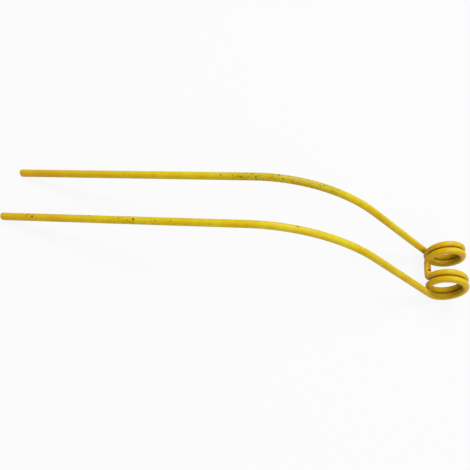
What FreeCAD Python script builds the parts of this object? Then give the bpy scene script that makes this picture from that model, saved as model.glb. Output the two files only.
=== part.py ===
import FreeCAD, Part
import math
import os

import Sketcher

# A hay rake tine: one length of round spring-steel wire, bent into two coils that mirror each other, with a
# straight bridge between them and a long arm from the outer end of each. Millimetres and degrees.
# In the tine's own frame the coils wind round the Y axis, and each arm leaves the lowest point of its coil
# towards -X. The finished tine is then laid down on its two coils and its two tips.

doc = FreeCAD.newDocument("hay_rake_tine")
sizes = doc.addObject("Spreadsheet::Sheet", "sizes")

# Driving dimensions. The wire is measured across, and its lengths and bends are those of its centre line.
DIMENSIONS = {
    "wire_diameter": 9.0,
    "coil_bore": 36.5,
    "turn_gap": 1.0,
    "coil_sweep": 667.0,
    "bridge_length": 17.0,
    "elbow_radius": 6.0,
    "straightening_radius": 40.0,
    "shank_length": 131.0,
    "bend_radius": 203.0,
    "bend_angle": 46.5,
    "finger_length": 300.0,
    "tip_rounding": 0.8,
}
for row, (alias, amount) in enumerate(DIMENSIONS.items(), start=1):
    sizes.set(f"A{row}", str(amount))
    sizes.setAlias(f"A{row}", alias)
doc.recompute()

# What follows from the driving dimensions. An arm leaves its coil at 270 degrees round the Y axis.
COIL_RADIUS = "((sizes.coil_bore + sizes.wire_diameter) / 2)"
TURN_PITCH = "(sizes.wire_diameter + sizes.turn_gap)"
COIL_LENGTH = f"({TURN_PITCH} * sizes.coil_sweep / 360)"
START_ANGLE = "((270 + sizes.coil_sweep) * 1 deg)"

# A coil is bent as equal arcs. Each is the one before, turned round the axis and moved along it, and its plane
# leans just so far that the wire runs on smoothly from arc to arc and climbs by the pitch in every turn.
ARCS_IN_COIL = 10
ARC_SWEEP = f"(sizes.coil_sweep * 1 deg / {ARCS_IN_COIL})"
ARC_RISE = f"({COIL_LENGTH} / {ARCS_IN_COIL})"
ARC_TILT = f"atan({ARC_RISE} / (2 * {COIL_RADIUS} * sin({ARC_SWEEP} / 2)))"
HALF_ARC = f"atan(tan({ARC_SWEEP} / 2) * cos({ARC_TILT}))"
ARC_RADIUS = f"({COIL_RADIUS} * cos({ARC_SWEEP} / 2) / (cos({HALF_ARC}) * cos({ARC_TILT}) ^ 2))"
ARC_INSET = f"({ARC_RADIUS} * cos({HALF_ARC}) * sin({ARC_TILT}) ^ 2)"
LEAN = f"asin(cos({HALF_ARC}) * sin({ARC_TILT}))"

# LEAN is the slope of the wire at both ends of its coil. The elbow and the straightening bend take it out.
ELBOW_DEPTH = f"(sizes.elbow_radius * (1 - sin({LEAN})))"
COIL_START = f"(sizes.bridge_length / 2 + sizes.elbow_radius * cos({LEAN}))"
COIL_END = f"({COIL_START} + {COIL_LENGTH})"
ARM_START = f"(sizes.straightening_radius * sin({LEAN}))"
ARM_PLANE = f"({COIL_END} + sizes.straightening_radius * (1 - cos({LEAN})))"

UP = FreeCAD.Vector(0, 0, 1)
ALONG_COILS = FreeCAD.Vector(0, 1, 0)


def size(alias):
    """The number in one cell of the sheet."""
    return float(sizes.get(alias))


def value(expression):
    """The value of an expression on the sheet's cells."""
    result = sizes.evalExpression(expression)
    return float(getattr(result, "Value", result))


def new_sketch(body, name, role):
    """An empty sketch on one of the body's own origin planes."""
    support = next(feature for feature in body.Origin.OriginFeatures if feature.Role == role)
    sketch = body.newObject("Sketcher::SketchObject", name)
    sketch.AttachmentSupport = [(support, "")]
    sketch.MapMode = "FlatFace"
    return sketch


def drive(sketch, expression, *constraint):
    """Add a dimension to a sketch and bind its value to the sheet."""
    index = sketch.addConstraint(Sketcher.Constraint(*constraint))
    sketch.setExpression(f"Constraints[{index}]", expression)


def arc(centre, radius, first, last):
    """An arc of a circle, anticlockwise between two angles in degrees."""
    circle = Part.Circle(FreeCAD.Vector(*centre, 0), UP, radius)
    return Part.ArcOfCircle(circle, math.radians(first), math.radians(last))


def line(start, end):
    """A straight line between two points of a sketch."""
    return Part.LineSegment(FreeCAD.Vector(*start, 0), FreeCAD.Vector(*end, 0))


def make_bridge_path(body):
    """Half of the bridge, and the elbow that turns the wire into the first turn of its coil."""
    path = new_sketch(body, "bridge_path", "XY_Plane")
    path.AttachmentOffset = FreeCAD.Placement(FreeCAD.Vector(), FreeCAD.Rotation(ALONG_COILS, 10))
    path.setExpression(".AttachmentOffset.Base.x", f"{COIL_RADIUS} * cos({START_ANGLE})")
    path.setExpression(".AttachmentOffset.Base.z", f"{COIL_RADIUS} * sin({START_ANGLE})")
    path.setExpression(".AttachmentOffset.Rotation.Angle", f"90 deg - {START_ANGLE}")
    half = size("bridge_length") / 2
    radius = size("elbow_radius")
    path.addGeometry(line((-radius, 0), (-radius, half)))
    path.addGeometry(arc((0, half), radius, 93, 180))
    path.addConstraint(Sketcher.Constraint("Vertical", 0))
    path.addConstraint(Sketcher.Constraint("PointOnObject", 0, 1, -1))
    path.addConstraint(Sketcher.Constraint("Tangent", 0, 2, 1, 2))
    path.addConstraint(Sketcher.Constraint("PointOnObject", 1, 1, -2))
    drive(path, "sizes.bridge_length / 2", "Distance", 0, half)
    drive(path, "sizes.elbow_radius", "Radius", 1, radius)
    drive(path, f"90 deg - {LEAN}", "Angle", 1, math.radians(87))
    return path


def make_turns():
    """The turns of one coil, from its elbow to its lowest point, as arcs that run smoothly into each other."""
    turns = []
    for number in range(ARCS_IN_COIL):
        turn = doc.addObject("Part::Circle", "turn")
        turn.setExpression("Radius", ARC_RADIUS)
        turn.setExpression("Angle2", f"2 * {HALF_ARC}")
        middle = number + 0.5
        height = f"create(<<vector>>; 0; {COIL_START} + {middle} * {ARC_RISE}; 0)"
        turned = f"{middle} * {ARC_SWEEP} - {START_ANGLE}"
        round_axis = f"create(<<rotation>>; create(<<vector>>; 0; 1; 0); {turned})"
        on_axis = f"create(<<placement>>; {height}; {round_axis})"
        inset = f"create(<<vector>>; -{ARC_INSET}; 0; 0)"
        tilt = f"create(<<rotation>>; create(<<vector>>; 1; 0; 0); {ARC_TILT} - 90 deg)"
        from_end = f"create(<<rotation>>; create(<<vector>>; 0; 0; 1); -{HALF_ARC})"
        turn.setExpression("Placement", f"{on_axis} * create(<<placement>>; {inset}; {tilt} * {from_end})")
        turns.append(turn)
    return turns


def make_straightening(body):
    """The small bend that takes the lean out of the wire where it leaves the coil."""
    path = new_sketch(body, "straightening", "XY_Plane")
    path.setExpression(".AttachmentOffset.Base.y", COIL_END)
    path.setExpression(".AttachmentOffset.Base.z", f"-{COIL_RADIUS}")
    radius = size("straightening_radius")
    path.addGeometry(arc((-2, -radius), radius, 87, 90))
    path.addConstraint(Sketcher.Constraint("Coincident", 0, 1, -1, 1))
    path.addConstraint(Sketcher.Constraint("Vertical", 0, 3, 0, 2))
    drive(path, "sizes.straightening_radius", "Radius", 0, radius)
    drive(path, LEAN, "Angle", 0, math.radians(3))
    return path


def make_arm_path(body):
    """The straight shank, the long bend and the finger."""
    path = new_sketch(body, "arm_path", "XZ_Plane")
    path.setExpression(".AttachmentOffset.Base.x", f"-{ARM_START}")
    path.setExpression(".AttachmentOffset.Base.y", f"-{COIL_RADIUS}")
    path.setExpression(".AttachmentOffset.Base.z", f"-{ARM_PLANE}")
    shank = size("shank_length")
    radius = size("bend_radius")
    angle = math.radians(size("bend_angle"))
    finger = size("finger_length")
    bend_end = (-shank - radius * math.sin(angle), -radius * (1 - math.cos(angle)))
    tip = (bend_end[0] - finger * math.cos(angle), bend_end[1] - finger * math.sin(angle))
    path.addGeometry(line((0, 0), (-shank, 0)))
    path.addGeometry(arc((-shank, -radius), radius, 90, 90 + math.degrees(angle)))
    path.addGeometry(line(bend_end, tip))
    path.addConstraint(Sketcher.Constraint("Coincident", 0, 1, -1, 1))
    path.addConstraint(Sketcher.Constraint("Horizontal", 0))
    path.addConstraint(Sketcher.Constraint("Tangent", 0, 2, 1, 1))
    path.addConstraint(Sketcher.Constraint("Tangent", 1, 2, 2, 1))
    drive(path, "sizes.shank_length", "Distance", 0, shank)
    drive(path, "sizes.bend_radius", "Radius", 1, radius)
    drive(path, "sizes.bend_angle * 1 deg", "Angle", 1, angle)
    drive(path, "sizes.finger_length", "Distance", 2, finger)
    return path


def make_wire_section(body):
    """The round section of the wire, in the middle plane of the bridge."""
    section = new_sketch(body, "wire_section", "XZ_Plane")
    section.AttachmentOffset = FreeCAD.Placement(FreeCAD.Vector(), FreeCAD.Rotation(UP, 10))
    section.setExpression(".AttachmentOffset.Rotation.Angle", START_ANGLE)
    section.addGeometry(Part.Circle(FreeCAD.Vector(size("coil_bore") / 2, 6, 0), UP, 4))
    drive(section, COIL_RADIUS, "DistanceX", -1, 1, 0, 3, size("coil_bore") / 2)
    drive(section, ELBOW_DEPTH, "DistanceY", -1, 1, 0, 3, 6)
    drive(section, "sizes.wire_diameter", "Diameter", 0, 8)
    return section


def make_wire(body):
    """The wire of one half: the round section swept along the bridge, the elbow, the coil and the arm."""
    pieces = [make_bridge_path(body), *make_turns(), make_straightening(body), make_arm_path(body)]
    section = make_wire_section(body)
    doc.recompute()
    path = doc.addObject("Part::Compound", "wire_path")
    path.Links = pieces
    doc.recompute()
    wire = body.newObject("PartDesign::AdditivePipe", "wire")
    wire.Profile = (section, [""])
    wire.Spine = (path, [f"Edge{number + 1}" for number in range(len(path.Shape.Edges))])
    doc.recompute()
    return wire


def make_other_half(body, half):
    """The mirrored half, on the other side of the middle of the bridge."""
    both = body.newObject("PartDesign::Mirrored", "both_halves")
    both.Originals = [half]
    support = next(feature for feature in body.Origin.OriginFeatures if feature.Role == "XZ_Plane")
    both.MirrorPlane = (support, [""])
    body.Tip = both
    doc.recompute()
    return both


def round_tips(body, feature):
    """The cut ends of the wire, with a small rounded edge."""
    far_end = feature.Shape.BoundBox.XMin + size("wire_diameter") * 2
    edges = []
    for number, edge in enumerate(feature.Shape.Edges, start=1):
        if edge.CenterOfMass.x < far_end and abs(edge.Length - math.pi * size("wire_diameter")) < 0.1:
            edges.append(f"Edge{number}")
    tips = body.newObject("PartDesign::Fillet", "tips")
    tips.Base = (feature, edges)
    tips.setExpression("Radius", "sizes.tip_rounding")
    body.Tip = tips
    doc.recompute()
    return tips


tine = doc.addObject("PartDesign::Body", "tine")
tine.Label = "tine"
half = make_wire(tine)
whole = make_other_half(tine, half)
tips = round_tips(tine, whole)

# Lying down. The tine turns about its coils until the low side of both coils and the rounded low corner of
# both tips are level, and then the middle of its outline is set over the origin.
outer_radius = size("coil_bore") / 2 + size("wire_diameter")
bend = math.radians(size("bend_angle"))
rounding = size("tip_rounding")
flat = size("wire_diameter") / 2 - rounding
reach = value(ARM_START) + size("shank_length")
reach += size("bend_radius") * math.sin(bend) + (size("finger_length") - rounding) * math.cos(bend)
drop = value(COIL_RADIUS) + size("bend_radius") * (1 - math.cos(bend))
drop += (size("finger_length") - rounding) * math.sin(bend)
corner_reach = reach - flat * math.sin(bend)
corner_drop = drop + flat * math.cos(bend)
corner_distance = math.hypot(corner_reach, corner_drop)
lie = math.atan2(corner_drop, corner_reach) - math.asin((outer_radius - rounding) / corner_distance)
tine.Placement = FreeCAD.Placement(FreeCAD.Vector(), FreeCAD.Rotation(ALONG_COILS, math.degrees(lie)))
doc.recompute()
box = tine.Shape.optimalBoundingBox()
to_origin = FreeCAD.Vector(-(box.XMin + box.XMax) / 2, 0, -box.ZMin)
tine.Placement = FreeCAD.Placement(to_origin, tine.Placement.Rotation)
doc.recompute()

for feature in doc.Objects:
    if "Invalid" in feature.State or "Error" in feature.State:
        raise SystemExit(f"{feature.Name} did not build: {feature.State}")
if tine.Shape.isNull() or not tine.Shape.isValid() or len(tine.Shape.Solids) != 1:
    raise SystemExit(f"{tine.Label} is not one valid solid")

os.makedirs("parts", exist_ok=True)
tine.Shape.exportStep(f"parts/{tine.Label}.step")
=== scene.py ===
import math

import bmesh
import bpy
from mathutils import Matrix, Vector, noise


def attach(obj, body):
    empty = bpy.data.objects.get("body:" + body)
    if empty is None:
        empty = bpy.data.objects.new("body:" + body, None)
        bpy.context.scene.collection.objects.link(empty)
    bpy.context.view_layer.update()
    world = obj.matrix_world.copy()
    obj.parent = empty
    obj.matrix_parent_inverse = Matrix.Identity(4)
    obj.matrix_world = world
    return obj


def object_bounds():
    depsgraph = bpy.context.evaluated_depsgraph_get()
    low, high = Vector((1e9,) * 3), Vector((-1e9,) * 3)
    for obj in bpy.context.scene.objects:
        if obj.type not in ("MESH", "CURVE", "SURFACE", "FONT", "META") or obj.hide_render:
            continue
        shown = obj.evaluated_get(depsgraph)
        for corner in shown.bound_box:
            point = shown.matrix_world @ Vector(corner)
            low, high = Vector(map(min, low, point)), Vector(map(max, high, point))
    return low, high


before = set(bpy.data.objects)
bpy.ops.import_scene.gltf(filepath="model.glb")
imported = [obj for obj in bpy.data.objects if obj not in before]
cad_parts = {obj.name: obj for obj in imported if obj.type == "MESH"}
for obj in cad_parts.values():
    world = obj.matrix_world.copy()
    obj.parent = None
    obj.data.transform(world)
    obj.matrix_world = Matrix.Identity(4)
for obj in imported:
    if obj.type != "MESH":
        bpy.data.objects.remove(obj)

cad_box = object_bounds()

# The camera.
# It stands over the near side of the tine and looks down on it, as the photograph does, so that the coils
# are at the right and the two arms run to the left edge of the picture.
PICTURE_WIDTH = 470
FOCAL_PIXELS = 387.0
CENTRE_COLUMN = 266.7
CENTRE_ROW = 298.85
CAMERA_PLACE = Vector((-0.0354, -0.2729, 0.4550))
CAMERA_TURN = (21.8405, -11.0168, 6.1519)
SENSOR_WIDTH = 36.0
NEAREST_SEEN = 0.02
FURTHEST_SEEN = 20.0

camera_data = bpy.data.cameras.new("camera")
camera_data.sensor_fit = "HORIZONTAL"
camera_data.sensor_width = SENSOR_WIDTH
camera_data.lens = FOCAL_PIXELS / PICTURE_WIDTH * SENSOR_WIDTH
camera_data.shift_x = (PICTURE_WIDTH / 2 - CENTRE_COLUMN) / PICTURE_WIDTH
camera_data.shift_y = (CENTRE_ROW - PICTURE_WIDTH / 2) / PICTURE_WIDTH
camera_data.clip_start = NEAREST_SEEN
camera_data.clip_end = FURTHEST_SEEN
camera = bpy.data.objects.new("camera", camera_data)
camera.location = CAMERA_PLACE
camera.rotation_euler = [math.radians(angle) for angle in CAMERA_TURN]
bpy.context.collection.objects.link(camera)
bpy.context.scene.camera = camera
bpy.context.view_layer.update()


# The tine: one length of round steel wire, bent into two coils and two long arms, and painted yellow.
# The coat is lemon yellow on the arms and more orange at the tips, the coils and the bridge. It is chipped
# and speckled in places. Its lighter tops are painted light, and its brown underside, the brown inside the
# coils and the dark grooves between their turns are painted shade.
TIP_ORANGE = (0.660, 0.370, 0.001, 1.0)
DEEP_YELLOW = (0.640, 0.400, 0.001, 1.0)
YELLOW = (0.665, 0.470, 0.002, 1.0)
LEMON = (0.665, 0.555, 0.012, 1.0)
BRIDGE_ORANGE = (0.780, 0.420, 0.001, 1.0)
UNDERSIDE_PAINTED_SHADE = (0.420, 0.230, 0.003, 1.0)
CUT_END = (0.300, 0.220, 0.020, 1.0)
GROOVE_PAINTED_SHADE = (0.190, 0.080, 0.001, 1.0)
COIL_INSIDE_PAINTED_SHADE = (0.290, 0.165, 0.001, 1.0)
SPECK_BROWN = (0.170, 0.105, 0.004, 1.0)
CHIP_STEEL = (0.032, 0.018, 0.004, 1.0)

# The coils of the solid, in metres: their axis, the middle of their wire, and where the first turn starts.
COIL_AXIS = Vector((0.27374, 0.0, 0.02725))
COIL_CENTRE_RADIUS = 0.02275
TURN_PITCH = 0.0100
FIRST_TURN_OFFSET = 0.01449
FIRST_TURN_ANGLE = math.radians(187.4)
PART_OF_SECOND_TURN = 307.0 / 360.0
TIP_END = cad_box[0][0]
FULL_TURN = 2.0 * math.pi

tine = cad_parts["tine"]


def spot_on_tine(column, row):
    """The place on the tine's surface that the camera sees at a pixel of the picture."""
    across = (column - CENTRE_COLUMN) / FOCAL_PIXELS
    down = (row - CENTRE_ROW) / FOCAL_PIXELS
    direction = camera.matrix_world.to_3x3() @ Vector((across, -down, -1.0))
    found, place, _, _ = tine.ray_cast(CAMERA_PLACE, direction.normalized())
    if not found:
        raise ValueError(f"no tine at column {column}, row {row}")
    return place


def new_material(name):
    """A material with no nodes in it yet."""
    material = bpy.data.materials.new(name)
    material.use_nodes = True
    material.node_tree.nodes.clear()
    return material


def feed(tree, socket, value):
    """Give a socket a link or a value."""
    if isinstance(value, bpy.types.NodeSocket):
        tree.links.new(value, socket)
    else:
        socket.default_value = value


def linked(tree, kind, **values):
    """A new shader node with the given input values or links."""
    node = tree.nodes.new(kind)
    for name, value in values.items():
        feed(tree, node.inputs[name.replace("_", " ")], value)
    return node


def show(tree, shader):
    """Make a shader the surface of its material."""
    surface = tree.nodes.new("ShaderNodeOutputMaterial")
    tree.links.new(shader.outputs[0], surface.inputs["Surface"])


def result_of(tree, operation, first, second=0.0):
    """The result of one operation on two numbers."""
    node = tree.nodes.new("ShaderNodeMath")
    node.operation = operation
    feed(tree, node.inputs[0], first)
    feed(tree, node.inputs[1], second)
    return node.outputs[0]


def times(tree, first, second):
    """The product of two numbers."""
    return result_of(tree, "MULTIPLY", first, second)


def plus(tree, first, second):
    """The sum of two numbers."""
    return result_of(tree, "ADD", first, second)


def minus(tree, first, second):
    """The difference of two numbers."""
    return result_of(tree, "SUBTRACT", first, second)


def size_of(tree, number):
    """A number without its sign."""
    return result_of(tree, "ABSOLUTE", number)


def unevenness(tree, position, scale, detail=3.0, roughness=0.6):
    """A number that wanders about 0.5 over the surface."""
    texture = linked(
        tree, "ShaderNodeTexNoise", Vector=position, Scale=scale, Detail=detail, Roughness=roughness)
    return texture.outputs["Fac"]


def fade(tree, value, start, stop):
    """A number that goes smoothly from 0 at the start to 1 at the stop, whichever is greater."""
    node = tree.nodes.new("ShaderNodeMapRange")
    node.interpolation_type = "SMOOTHSTEP"
    tree.links.new(value, node.inputs["Value"])
    rising = start < stop
    node.inputs["From Min"].default_value = min(start, stop)
    node.inputs["From Max"].default_value = max(start, stop)
    node.inputs["To Min"].default_value = 0.0 if rising else 1.0
    node.inputs["To Max"].default_value = 1.0 if rising else 0.0
    return node.outputs["Result"]


def covered(tree, coat, colour, where, strength=1.0):
    """A coat with a colour over it: by the strength where the number is 1, and not at all where it is 0."""
    node = tree.nodes.new("ShaderNodeMix")
    node.data_type = "RGBA"
    # The sockets for numbers, vectors and colours share their names, so the colour ones are taken by number.
    feed(tree, node.inputs[0], times(tree, where, strength))
    feed(tree, node.inputs[6], coat)
    feed(tree, node.inputs[7], colour)
    return node.outputs[2]


enamel = new_material("yellow_enamel")
tree = enamel.node_tree
place = tree.nodes.new("ShaderNodeTexCoord").outputs["Object"]
facing = tree.nodes.new("ShaderNodeNewGeometry").outputs["Normal"]
along, across, height = linked(tree, "ShaderNodeSeparateXYZ", Vector=place).outputs
endward, _, upward = linked(tree, "ShaderNodeSeparateXYZ", Vector=facing).outputs

# The coat's own colour: broad patches, short streaks and a fine mottle, added up in these shares.
# Here and below, each pair is where a layer starts to show and where it is complete.
PATCH_SHARE = 0.45
STREAK_SHARE = 0.35
MOTTLE_SHARE = 0.20
YELLOW_WHERE = (0.41, 0.51)
LEMON_WHERE = (0.49, 0.60)

patches = unevenness(tree, place, scale=34.0)
streaks = unevenness(tree, place, scale=150.0)
mottle = unevenness(tree, place, scale=700.0, detail=4.0, roughness=0.65)
thin_coat = plus(tree, times(tree, patches, PATCH_SHARE), times(tree, streaks, STREAK_SHARE))
thin_coat = plus(tree, thin_coat, times(tree, mottle, MOTTLE_SHARE))
coat = covered(tree, DEEP_YELLOW, YELLOW, fade(tree, thin_coat, *YELLOW_WHERE))
coat = covered(tree, coat, LEMON, fade(tree, thin_coat, *LEMON_WHERE))

# Lemon where the wire faces up and streaky lemon on the tops of the coils, as painted light and a painted
# highlight; orange towards the tips, on the coils and on the bridge; brown underneath, as painted shade; and
# olive on the two cut ends. Places are in metres, and for a direction 1 is straight up or along the tine.
FACES_UP = (0.70, 1.0)
FACES_DOWN = (0.15, -0.75)
COIL_FACES_UP = (0.72, 0.98)
FACES_OFF_TIP = (-0.45, -0.85)
NEAR_TIP = (0.19, 0.06)
TIP_ORANGE_WANDERS = 0.10
AT_TIP = (0.010, 0.005)
AT_COILS = (0.205, 0.250)
AT_BRIDGE = (0.017, 0.010)
STREAKY = (0.40, 0.60)
PAINTED_LIGHT_ON_TOP = 0.40
ORANGE_AT_TIPS = 0.80
ORANGE_ON_COILS = 0.60
PAINTED_HIGHLIGHT_ON_COILS = 0.75
ORANGE_ON_BRIDGE = 0.55
OLIVE_ON_ENDS = 0.75

# Painted light: lighter lemon where the wire faces up.
coat = covered(tree, coat, LEMON, fade(tree, upward, *FACES_UP), PAINTED_LIGHT_ON_TOP)
from_tip = minus(tree, along, TIP_END)
uneven_from_tip = plus(tree, from_tip, times(tree, patches, TIP_ORANGE_WANDERS))
coat = covered(tree, coat, TIP_ORANGE, fade(tree, uneven_from_tip, *NEAR_TIP), ORANGE_AT_TIPS)
coils = fade(tree, along, *AT_COILS)
coat = covered(tree, coat, TIP_ORANGE, coils, ORANGE_ON_COILS)
# Painted highlight: streaky lemon on the tops of the coils.
coil_top_highlight = times(tree, coils, fade(tree, upward, *COIL_FACES_UP))
coil_top_highlight = times(tree, coil_top_highlight, fade(tree, streaks, *STREAKY))
coat = covered(tree, coat, LEMON, coil_top_highlight, PAINTED_HIGHLIGHT_ON_COILS)
bridge = times(tree, coils, fade(tree, size_of(tree, across), *AT_BRIDGE))
coat = covered(tree, coat, BRIDGE_ORANGE, bridge, ORANGE_ON_BRIDGE)
# Painted shade: brown where the wire faces down.
coat = covered(tree, coat, UNDERSIDE_PAINTED_SHADE, fade(tree, upward, *FACES_DOWN))
end_face = times(tree, fade(tree, endward, *FACES_OFF_TIP), fade(tree, from_tip, *AT_TIP))
coat = covered(tree, coat, CUT_END, end_face, OLIVE_ON_ENDS)

# Painted shade: a brown darkening inside the coils, and a darker one in the groove between the turns of each.
# The groove winds as the wire does: each turn round the axis takes it one pitch further out.
GROOVE_SIDE = (0.0048, 0.0030)
GROOVE_MOUTH = (0.0024, 0.0006)
GROOVE_IS_RAGGED_BY = 0.0012
GROOVE_ENDS = (PART_OF_SECOND_TURN + 0.01, PART_OF_SECOND_TURN - 0.01)
COIL_INSIDE = (COIL_CENTRE_RADIUS - 0.0005, COIL_CENTRE_RADIUS - 0.0040)
INSIDE_SHADE_STRENGTH = 0.55
GROOVE_SHADE_STRENGTH = 0.75

beside_axis = minus(tree, along, COIL_AXIS.x)
above_axis = minus(tree, height, COIL_AXIS.z)
from_axis = plus(tree, result_of(tree, "POWER", beside_axis, 2.0), result_of(tree, "POWER", above_axis, 2.0))
from_axis = result_of(tree, "POWER", from_axis, 0.5)
angle = result_of(tree, "ARCTAN2", above_axis, beside_axis)
turned = result_of(tree, "DIVIDE", minus(tree, FIRST_TURN_ANGLE, angle), FULL_TURN)
turned = result_of(tree, "FRACT", turned)
first_turn = plus(tree, times(tree, turned, TURN_PITCH), FIRST_TURN_OFFSET)
past_first = minus(tree, size_of(tree, across), first_turn)
from_groove = size_of(tree, minus(tree, past_first, TURN_PITCH / 2.0))
into_groove = size_of(tree, minus(tree, from_axis, COIL_CENTRE_RADIUS))
into_groove = minus(tree, into_groove, times(tree, mottle, GROOVE_IS_RAGGED_BY))
groove = times(tree, fade(tree, from_groove, *GROOVE_SIDE), fade(tree, into_groove, *GROOVE_MOUTH))
groove = times(tree, groove, fade(tree, turned, *GROOVE_ENDS))
inside = fade(tree, from_axis, *COIL_INSIDE)
# Painted shade: brown on the inside of each coil.
coat = covered(tree, coat, COIL_INSIDE_PAINTED_SHADE, inside, INSIDE_SHADE_STRENGTH)
# Painted shade: dark brown in the groove between the turns.
coat = covered(tree, coat, GROOVE_PAINTED_SHADE, groove, GROOVE_SHADE_STRENGTH)

# Fine specks on the two stretches of arm where the photograph shows them. Each stretch lies between two
# spots, given by their column and row in the picture, and fades in and out at these distances from them, in
# metres along the tine. The far one is also a little browner all over.
FAR_STRETCH_START = (228.0, 176.0)
FAR_STRETCH_END = (345.0, 195.0)
FAR_FADES_IN = (-0.020, 0.020)
FAR_FADES_OUT = (0.010, -0.020)
NEAR_STRETCH_START = (110.0, 219.0)
NEAR_STRETCH_END = (140.0, 220.2)
NEAR_FADES_IN = (-0.004, 0.004)
NEAR_FADES_OUT = (0.008, -0.010)
MIDDLE_FADE = 0.001
SPECKS_PER_METRE = 380.0
SPECK_EDGE = (0.44, 0.24)
SPECK_CHANCE = (0.44, 0.50)
SPECK_STRENGTH = 0.62
BROWN_ON_FAR_STRETCH = 0.23


def stretch_of_arm(side, start, end, fades_in, fades_out):
    """1 on one arm between two pixels of the picture, and 0 elsewhere."""
    start_along = spot_on_tine(*start).x
    end_along = spot_on_tine(*end).x
    begun = fade(tree, along, start_along + fades_in[0], start_along + fades_in[1])
    not_ended = fade(tree, along, end_along + fades_out[0], end_along + fades_out[1])
    on_side = fade(tree, across, 0.0, MIDDLE_FADE * side)
    return times(tree, times(tree, begun, on_side), not_ended)


on_far_arm = stretch_of_arm(1.0, FAR_STRETCH_START, FAR_STRETCH_END, FAR_FADES_IN, FAR_FADES_OUT)
on_near_arm = stretch_of_arm(-1.0, NEAR_STRETCH_START, NEAR_STRETCH_END, NEAR_FADES_IN, NEAR_FADES_OUT)
cells = linked(tree, "ShaderNodeTexVoronoi", Vector=place, Scale=SPECKS_PER_METRE, Randomness=1.0)
chance = linked(tree, "ShaderNodeSeparateColor", Color=cells.outputs["Color"]).outputs[0]
speck = times(tree, fade(tree, cells.outputs["Distance"], *SPECK_EDGE), fade(tree, chance, *SPECK_CHANCE))
speck = times(tree, speck, result_of(tree, "MAXIMUM", on_far_arm, on_near_arm))
coat = covered(tree, coat, SPECK_BROWN, speck, SPECK_STRENGTH)
coat = covered(tree, coat, SPECK_BROWN, on_far_arm, BROWN_ON_FAR_STRETCH)

# Single chips, each at the column and row of the picture where it shows, with its size in metres.
CHIPS = {
    "bridge": (429.4, 269.9, 0.0019),
    "beside_bridge_chip": (428.9, 266.4, 0.0009),
    "far_arm_fleck": (220.7, 175.0, 0.0009),
    "far_arm_mark": (232.3, 175.4, 0.0007),
    "far_arm_nick": (241.0, 176.7, 0.0009),
    "before_far_bend_top": (252.0, 173.5, 0.0008),
    "before_far_bend_low": (256.0, 177.3, 0.0009),
    "far_bend_top": (279.0, 175.3, 0.0008),
    "far_bend_low": (283.0, 179.0, 0.0010),
    "past_far_bend": (308.0, 180.3, 0.0007),
    "far_shank_first": (324.0, 185.2, 0.0007),
    "far_shank_second": (339.5, 189.8, 0.0007),
    "near_tip_first": (26.0, 216.0, 0.0009),
    "near_tip_second": (32.0, 216.3, 0.0012),
    "near_tip_third": (28.5, 214.4, 0.0008),
    "near_finger_first": (84.0, 215.2, 0.0007),
    "near_finger_second": (89.0, 215.8, 0.0009),
    "near_finger_patch": (118.0, 218.4, 0.0008),
    "near_finger_patch_end": (133.0, 219.2, 0.0012),
    "near_finger_third": (155.0, 220.5, 0.0009),
    "near_finger_fourth": (171.0, 221.0, 0.0007),
    "near_finger_fifth": (187.0, 224.0, 0.0006),
    "near_bend": (297.7, 226.6, 0.0010),
}
CHIP_CORE = 0.65
CHIP_STRENGTH = 0.96

# Places where the photograph shows a deeper orange, named and sized in the same way.
ORANGE_PATCHES = {
    "near_tip": (10.0, 216.3, 0.0100),
    "far_tip": (29.0, 173.4, 0.0080),
    "near_coil_start": (430.8, 285.0, 0.0042),
    "near_elbow": (431.5, 275.5, 0.0045),
    "far_elbow": (430.0, 257.5, 0.0050),
    "far_arm_at_coil": (421.0, 248.0, 0.0060),
    "near_arm_at_coil": (428.0, 291.5, 0.0060),
}
ORANGE_PATCH_CORE = 0.2
ORANGE_PATCH_STRENGTH = 0.55
SPOT_REACHES = 1.25
OUTLINE_SCALE = 1100.0
OUTLINE_WANDERS = 0.0022
MIDDLE_OF_NOISE = (0.5, 0.5, 0.5)


def marked(tree, position, spots, core):
    """1 inside the named spots and 0 outside; the edge fades over the part of each that is not its core."""
    inside_one = 0.0
    for column, row, size in spots.values():
        gap = tree.nodes.new("ShaderNodeVectorMath")
        gap.operation = "DISTANCE"
        tree.links.new(position, gap.inputs[0])
        gap.inputs[1].default_value = spot_on_tine(column, row)
        in_spot = fade(tree, gap.outputs["Value"], size * SPOT_REACHES, size * core)
        inside_one = result_of(tree, "MAXIMUM", inside_one, in_spot)
    return inside_one


# Chips and orange patches have ragged outlines: each is tested at a position that wanders about the true one.
ragged = linked(tree, "ShaderNodeTexNoise", Vector=place, Scale=OUTLINE_SCALE, Detail=2.0).outputs["Color"]
centred = linked(tree, "ShaderNodeVectorMath", Vector=ragged)
centred.operation = "SUBTRACT"
centred.inputs[1].default_value = MIDDLE_OF_NOISE
wandering = tree.nodes.new("ShaderNodeVectorMath")
wandering.operation = "MULTIPLY_ADD"
wandering.inputs[1].default_value = (OUTLINE_WANDERS, OUTLINE_WANDERS, OUTLINE_WANDERS)
tree.links.new(centred.outputs[0], wandering.inputs[0])
tree.links.new(place, wandering.inputs[2])
orange_patch = marked(tree, wandering.outputs[0], ORANGE_PATCHES, ORANGE_PATCH_CORE)
coat = covered(tree, coat, BRIDGE_ORANGE, orange_patch, ORANGE_PATCH_STRENGTH)
chipped = marked(tree, wandering.outputs[0], CHIPS, CHIP_CORE)
coat = covered(tree, coat, CHIP_STEEL, chipped, CHIP_STRENGTH)

# The gloss and the relief. Chips, specks and the insides of the coils are duller, and chips and specks lie
# deeper than the coat round them.
GLOSS = 0.18
LEAST_ROUGHNESS = 0.21
MOTTLE_ROUGHNESS = 0.22
WORN_ROUGHNESS = 0.25
INSIDE_ROUGHNESS = 0.45
SPECK_DEPTH_SHARE = 0.6
MOTTLE_HEIGHT = 0.35
STREAK_HEIGHT = 0.9
WORN_DEPTH = 0.4
RELIEF_STRENGTH = 0.27
RELIEF_DISTANCE = 0.00025

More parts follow.
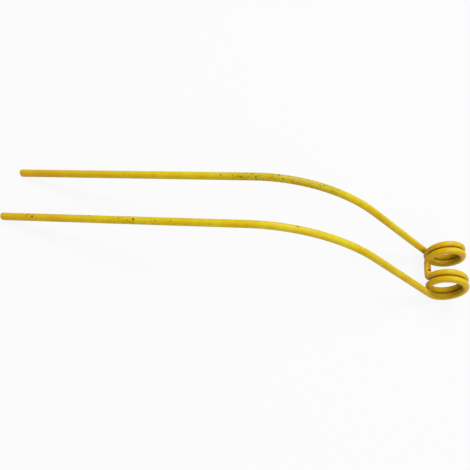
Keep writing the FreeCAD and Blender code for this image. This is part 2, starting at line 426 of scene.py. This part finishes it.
worn = result_of(tree, "MAXIMUM", chipped, times(tree, speck, SPECK_DEPTH_SHARE))
dull = plus(tree, times(tree, mottle, MOTTLE_ROUGHNESS), LEAST_ROUGHNESS)
dull = plus(tree, dull, times(tree, worn, WORN_ROUGHNESS))
dull = plus(tree, dull, times(tree, inside, INSIDE_ROUGHNESS))
relief = plus(tree, times(tree, mottle, MOTTLE_HEIGHT), times(tree, streaks, STREAK_HEIGHT))
relief = minus(tree, relief, times(tree, worn, WORN_DEPTH))
bump = linked(tree, "ShaderNodeBump", Height=relief, Strength=RELIEF_STRENGTH, Distance=RELIEF_DISTANCE)
shader = linked(
    tree, "ShaderNodeBsdfPrincipled",
    Base_Color=coat, Roughness=dull, Specular_IOR_Level=GLOSS, Normal=bump.outputs["Normal"])
show(tree, shader)

for slot in tine.material_slots:
    slot.material = enamel


# The enamel in the two seams, between the turns of each coil, where it is assumed to have run together.
# Each bead lies deep in the groove, sinks a little into the wire and closes the seam, and its dark brown
# coat is painted shade in the seam. It is paint, so it is no part of its own.
SEAM_DEPTH = 0.0012
SEAM_THICKNESS = 0.0015
SEAM_WAVERS = 0.2
SEAM_WAVES = 6.0
SEAM_START = math.radians(5.0)
SEAM_END = math.radians(302.0)
SEAM_STEPS = 120
SEAM_CORNERS = ((-1.0, 0.0), (-0.8, 0.5), (0.8, 0.5), (1.0, 0.0), (0.8, -0.5), (-0.8, -0.5))
SEAM_BROWN = (0.300, 0.135, 0.002, 1.0)
SEAM_DARK = (0.160, 0.062, 0.001, 1.0)
SEAM_BROWN_WHERE = (0.40, 0.62)
SEAM_LEAST_ROUGHNESS = 0.5
SMEAR_ROUGHNESS = 0.3

seam_coat = new_material("seam_enamel_painted_shade")
tree = seam_coat.node_tree
place = tree.nodes.new("ShaderNodeTexCoord").outputs["Object"]
smears = unevenness(tree, place, scale=260.0)
# Painted shade: the bead's coat is dark brown, mottled with lighter brown.
coat = covered(tree, SEAM_DARK, SEAM_BROWN, fade(tree, smears, *SEAM_BROWN_WHERE))
dull = plus(tree, times(tree, smears, SMEAR_ROUGHNESS), SEAM_LEAST_ROUGHNESS)
bump = linked(tree, "ShaderNodeBump", Height=smears, Strength=0.5, Distance=0.0003)
shader = linked(
    tree, "ShaderNodeBsdfPrincipled",
    Base_Color=coat, Roughness=dull, Normal=bump.outputs["Normal"])
show(tree, shader)


def seam_bead(name, side):
    """The bead of enamel that follows the groove of one coil, from its first turn's start to the arm."""
    mesh = bmesh.new()
    rings = []
    for step in range(SEAM_STEPS + 1):
        turned_by = SEAM_START + (SEAM_END - SEAM_START) * step / SEAM_STEPS
        around = FIRST_TURN_ANGLE - turned_by
        middle = FIRST_TURN_OFFSET + TURN_PITCH * (turned_by / FULL_TURN + 0.5)
        waver = 1.0 + SEAM_WAVERS * noise.noise(Vector((turned_by * SEAM_WAVES, side, 0.0)))
        ring = []
        for outward, sideways in SEAM_CORNERS:
            radius = COIL_CENTRE_RADIUS + outward * SEAM_DEPTH * waver
            ring.append(mesh.verts.new((
                COIL_AXIS.x + radius * math.cos(around),
                side * (middle + sideways * SEAM_THICKNESS),
                COIL_AXIS.z + radius * math.sin(around),
            )))
        rings.append(ring)
    for ring, following in zip(rings, rings[1:]):
        for index in range(len(ring)):
            after = (index + 1) % len(ring)
            mesh.faces.new((ring[index], ring[after], following[after], following[index]))
    mesh.faces.new(rings[0])
    mesh.faces.new(rings[-1])
    bmesh.ops.recalc_face_normals(mesh, faces=mesh.faces)
    data = bpy.data.meshes.new(name)
    mesh.to_mesh(data)
    mesh.free()
    for face in data.polygons:
        face.use_smooth = True
    data.materials.append(seam_coat)
    bead = bpy.data.objects.new(name, data)
    bpy.context.collection.objects.link(bead)
    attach(bead, "root")


seam_bead("seam_enamel_far", 1.0)
seam_bead("seam_enamel_near", -1.0)


# The floor: a plain white sheet that runs on past the edges of the picture.
# It is seen as white, also in the gloss of the enamel, and it keeps a faint shadow of the tine.
FLOOR_SIZE = 30.0
FLOOR_GREY = (0.62, 0.62, 0.62, 1.0)
FLOOR_GLOW = 0.89
WHITE = (1.0, 1.0, 1.0, 1.0)


def where_seen(tree, share):
    """A share where a thing is seen straight, in gloss or through something clear, and 0 where it lights."""
    rays = tree.nodes.new("ShaderNodeLightPath")
    seen = result_of(tree, "MAXIMUM", rays.outputs["Is Camera Ray"], rays.outputs["Is Glossy Ray"])
    seen = result_of(tree, "MAXIMUM", seen, rays.outputs["Is Transmission Ray"])
    return times(tree, seen, share)


bpy.ops.mesh.primitive_plane_add(size=FLOOR_SIZE)
floor = bpy.context.object
floor.name = "floor"
floor_paper = new_material("white_paper")
tree = floor_paper.node_tree
paper = linked(tree, "ShaderNodeBsdfDiffuse", Color=FLOOR_GREY)
glow = linked(tree, "ShaderNodeEmission", Color=WHITE, Strength=1.0)
both = tree.nodes.new("ShaderNodeMixShader")
tree.links.new(where_seen(tree, FLOOR_GLOW), both.inputs[0])
tree.links.new(paper.outputs[0], both.inputs[1])
tree.links.new(glow.outputs[0], both.inputs[2])
show(tree, both)
floor.data.materials.append(floor_paper)


# The light: a large soft lamp high over the far side, a weaker one over the near side, and a small one above
# the arms for the pale glint on their bends. The room is seen as white, but lights the tine less.
ROOM_LIGHT = 0.31
BACKDROP_WHITE = 0.94


def soft_lamp(name, place, aim, size, watts):
    """A square lamp that points at a place."""
    data = bpy.data.lights.new(name, "AREA")
    data.shape = "SQUARE"
    data.size = size
    data.energy = watts
    lamp = bpy.data.objects.new(name, data)
    lamp.location = place
    lamp.rotation_euler = (Vector(aim) - Vector(place)).to_track_quat("-Z", "Y").to_euler()
    bpy.context.collection.objects.link(lamp)


soft_lamp("key_lamp", place=(0.25, 0.95, 1.85), aim=(0.10, 0.0, 0.03), size=1.1, watts=31.0)
soft_lamp("fill_lamp", place=(0.5, -1.2, 1.2), aim=(0.0, 0.0, 0.03), size=1.2, watts=12.5)
soft_lamp("glint_lamp", place=(-0.06, -0.30, 1.50), aim=(0.05, -0.03, 0.09), size=0.16, watts=1.5)

world = bpy.data.worlds.new("pale_room")
bpy.context.scene.world = world
world.use_nodes = True
backdrop = world.node_tree.nodes["Background"]
backdrop.inputs["Color"].default_value = WHITE
seen_white = where_seen(world.node_tree, BACKDROP_WHITE - ROOM_LIGHT)
feed(world.node_tree, backdrop.inputs["Strength"], plus(world.node_tree, seen_white, ROOM_LIGHT))

bpy.context.scene.view_settings.view_transform = "Standard"
